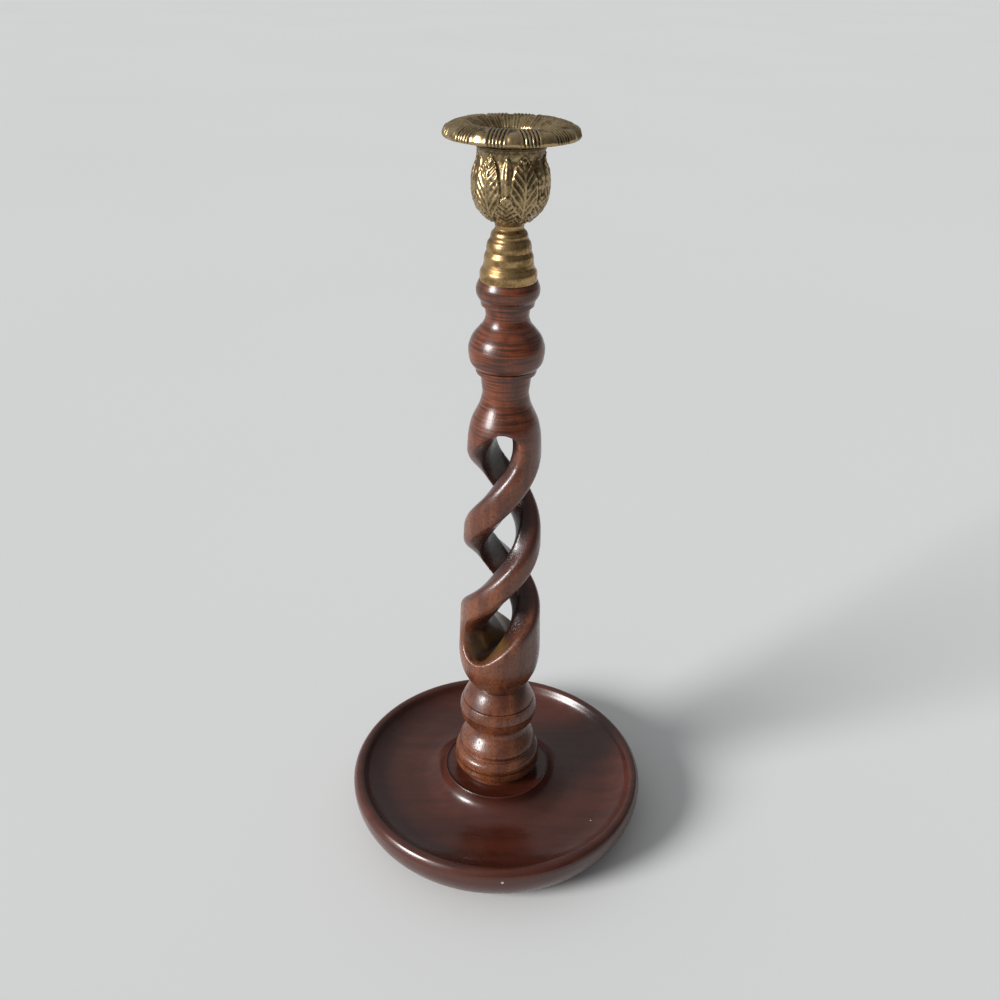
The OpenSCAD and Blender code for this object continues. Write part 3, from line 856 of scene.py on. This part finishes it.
def castPan():
    seat, edge, edgeZ, ridge = pan["seat"], pan["edge"], pan["edgeZ"], pan["ridge"]
    under = smoothRun([(13.6, seat + 1.0), (15.2, seat + 2.4), (17.4, 350.2), (20.5, 351.6), (23.4, 351.4),
                       (25.5, 350.4), (26.6, 349.5)])
    top = smoothRun([(26.6, 349.5), (27.0, 349.6), (26.9, 350.9), (25.8, 352.6), (23.2, 354.0),
                     (20.6, 354.6), (18.4, 354.5), (15.6, 353.0), (13.3, 351.2), (12.3, 350.1),
                     (pan["tube"], pan["throat"])])
    outline = stepEvenly(joinRuns([(pan["tube"], seat), (pan["seatRadius"], seat),
                                   (pan["seatRadius"], seat + 0.3), (13.4, seat + 0.5)],
                                  under, top, [(pan["tube"], seat)]), pan["step"])
    piece = turnOnLathe("panCast", outline, pan["segments"])
    points, normals, angle, along, radius = placeOnOutline(piece, outline)
    line = np.array(outline)
    steps = np.concatenate([[0], np.cumsum(np.hypot(*np.diff(line, axis=0).T))])
    topFrom = steps[np.hypot(line[:, 0] - 26.6, line[:, 1] - 349.5).argmin()]
    topTo = steps[np.hypot(line[:, 0] - 12.3, line[:, 1] - 350.1).argmin()]
    onTop = ease((along - topFrom) / 1.2) * ease((topTo - along) / 1.5)
    lift = panLeaves(angle, radius, points) * onTop
    writePoints(piece, points + normals * lift[:, None])
    markHollows(piece, 9, 0.17)
    smoothShade(piece)
    finishPiece(piece, "nozzle", "pan_brass", castBrass, "drip_pan")
    print("pan:", len(piece.data.vertices), "points")


drawTube()
castPan()
print("nozzle made")


# the screws and the washer stay as the frame has them, and only get their finish
for node in ("base_screw", "cup_washer", "cup_screw"):
    screw = bpy.data.objects[node]
    screw.data.materials.clear()
    screw.data.materials.append(screwSteel)


table = {"size": 60.0, "colour": (0.78, 0.785, 0.78, 1)}
window = {"side": 61.0, "up": 24.0, "spread": 22.0, "strength": 3.9}
room = {"level": 0.26, "tilt": 0.22, "towards": (-0.75, 0.35, 0.55)}
viewer = {"back": 432.0, "up": 418.606, "tilt": 28.23, "swing": -0.187, "roll": 1.29,
          "focal": 1.05, "sensor": 36.0}


def layTable():
    bpy.ops.object.select_all(action="DESELECT")
    bpy.ops.mesh.primitive_plane_add(size=table["size"], location=(0, 0, 0))
    top = bpy.context.object
    top.name = "tableTop"
    finish, tree, shader, place = newFinish("paleTable")
    shade = cloudy(tree, place, 1.4, 2, 0.5)
    darker = tuple(c * 0.96 for c in table["colour"][:3]) + (1,)
    tree.links.new(mixColours(tree, shade, table["colour"], darker), shader.inputs["Base Color"])
    shader.inputs["Roughness"].default_value = 0.9
    shader.inputs["Specular IOR Level"].default_value = 0.0  # quite matt, so it doesn't glare
    top.data.materials.append(finish)


def hangLights():
    side, up = math.radians(window["side"]), math.radians(window["up"])
    away = Vector((-math.sin(side) * math.cos(up), -math.cos(side) * math.cos(up), math.sin(up)))
    # even over the whole table, and as wide in the sky as a window seen from it
    bpy.ops.object.light_add(type="SUN", location=away)
    lamp = bpy.context.object
    lamp.name = "window"
    lamp.rotation_euler = away.to_track_quat("Z", "Y").to_euler()
    lamp.data.angle = math.radians(window["spread"])
    lamp.data.energy = window["strength"]
    world = bpy.data.worlds.new("room")
    bpy.context.scene.world = world
    world.use_nodes = True
    tree = world.node_tree
    tree.nodes.clear()
    direction = tree.nodes.new("ShaderNodeTexCoord").outputs["Generated"]
    towards = Vector(room["towards"]).normalized()
    lean = add(tree, "ShaderNodeVectorMath", {0: direction, 1: towards},
               operation="DOT_PRODUCT").outputs["Value"]
    level = calculate(tree, "ADD", room["level"], calculate(tree, "MULTIPLY", lean, room["tilt"]))
    glow = add(tree, "ShaderNodeBackground", {"Color": (0.97, 0.985, 1, 1), "Strength": level})
    output = tree.nodes.new("ShaderNodeOutputWorld")
    tree.links.new(glow.outputs[0], output.inputs["Surface"])


def placeCamera():
    tilt, swing, roll = (math.radians(viewer[key]) for key in ("tilt", "swing", "roll"))
    across = Vector((math.cos(swing), -math.sin(swing), 0))
    onward = Vector((math.sin(swing), math.cos(swing), 0))
    up = Vector((0, 0, 1))
    forward = onward * math.cos(tilt) - up * math.sin(tilt)
    upward = onward * math.sin(tilt) + up * math.cos(tilt)
    right = across * math.cos(roll) + upward * math.sin(roll)
    top = upward * math.cos(roll) - across * math.sin(roll)
    bpy.ops.object.camera_add()
    camera = bpy.context.object
    camera.matrix_world = Matrix((
        (right.x, top.x, -forward.x, 0), (right.y, top.y, -forward.y, -viewer["back"] * mm),
        (right.z, top.z, -forward.z, viewer["up"] * mm), (0, 0, 0, 1)))
    camera.data.sensor_width = viewer["sensor"]
    camera.data.lens = viewer["focal"] * viewer["sensor"]
    camera.data.clip_start = 0.01
    bpy.context.scene.camera = camera


layTable()
hangLights()
placeCamera()
bpy.context.scene.view_settings.view_transform = "Standard"
print("table, light and camera placed")
